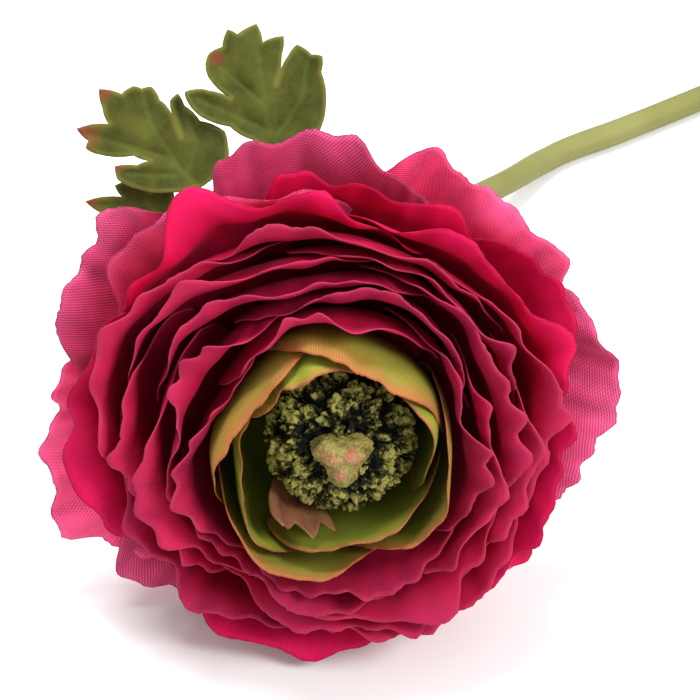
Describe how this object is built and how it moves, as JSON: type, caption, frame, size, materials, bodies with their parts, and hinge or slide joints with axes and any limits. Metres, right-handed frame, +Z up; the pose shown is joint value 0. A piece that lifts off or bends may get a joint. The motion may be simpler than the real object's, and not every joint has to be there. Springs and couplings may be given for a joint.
{
  "type": "artificial persian buttercup flower",
  "caption": "Artificial persian buttercup: layered magenta fabric petals round a green cup and flocked centre, on a wired stem with a sprig of toothed leaves, lying down",
  "frame": {"origin": "on the resting surface, under the middle of the whole lying flower", "axes": "+Z up from the resting surface, -Y the way the open face of the head points, +X the head's right as seen from its face, the way the stem bends"},
  "size_m": [0.1974, 0.2584, 0.0833],
  "materials": {
    "magenta_fabric": "woven polyester petal fabric, satin, darker heat-cut edges",
    "green_fabric": "woven yellow-green petal fabric with orange-pink edges",
    "leaf_fabric": "stiffened leaf fabric, pressed veins, brown tips",
    "bract_fabric": "brownish-red printed fabric",
    "stem_plastic": "moulded pale green plastic with a soft sheen",
    "wire_steel": "drawn steel wire",
    "flocked_foam": "olive flock on a dark moulded ball"
  },
  "bodies": {
    "root": {"bowl_petal_1": "magenta_fabric", "bowl_petal_2": "magenta_fabric", "bowl_petal_3": "magenta_fabric", "bowl_petal_4": "magenta_fabric", "bowl_petal_5": "magenta_fabric", "calyx": "stem_plastic", "cup_petal_1": "magenta_fabric", "cup_petal_2": "magenta_fabric", "cup_petal_3": "magenta_fabric", "cup_petal_4": "magenta_fabric", "flared_petal_1": "magenta_fabric", "flared_petal_2": "magenta_fabric", "flared_petal_3": "magenta_fabric", "flared_petal_4": "magenta_fabric", "flared_petal_5": "magenta_fabric", "flared_petal_6": "magenta_fabric", "fold_petal_1": "magenta_fabric", "fold_petal_2": "magenta_fabric", "fold_petal_3": "magenta_fabric", "fold_petal_4": "magenta_fabric", "fold_petal_5": "magenta_fabric", "green_cup_petal_1": "green_fabric", "green_cup_petal_2": "green_fabric", "green_cup_petal_3": "green_fabric", "green_cup_petal_4": "green_fabric", "green_heart_petal_1": "green_fabric", "green_heart_petal_2": "green_fabric", "green_heart_petal_3": "green_fabric", "green_heart_petal_4": "green_fabric", "hood_petal_1": "magenta_fabric", "hood_petal_2": "magenta_fabric", "hood_petal_3": "magenta_fabric", "hood_petal_4": "magenta_fabric", "inner_petal_1": "magenta_fabric", "inner_petal_2": "magenta_fabric", "inner_petal_3": "magenta_fabric", "inner_petal_4": "magenta_fabric", "leaf_left": "leaf_fabric", "leaf_low": "leaf_fabric", "leaf_right": "leaf_fabric", "leaf_stalk": "stem_plastic", "outer_petal_1": "magenta_fabric", "outer_petal_2": "magenta_fabric", "outer_petal_3": "magenta_fabric", "outer_petal_4": "magenta_fabric", "outer_petal_5": "magenta_fabric", "outer_petal_6": "magenta_fabric", "outer_petal_7": "magenta_fabric", "petal_peg": "stem_plastic", "pistil": "flocked_foam", "stamen_ball": "flocked_foam", "stem": "stem_plastic", "stem_wire": "wire_steel", "toothed_bract": "bract_fabric", "wrap_petal_1": "magenta_fabric", "wrap_petal_2": "magenta_fabric", "wrap_petal_3": "magenta_fabric", "wrap_petal_4": "magenta_fabric", "wrap_petal_5": "magenta_fabric"}
  },
  "joints": []
}
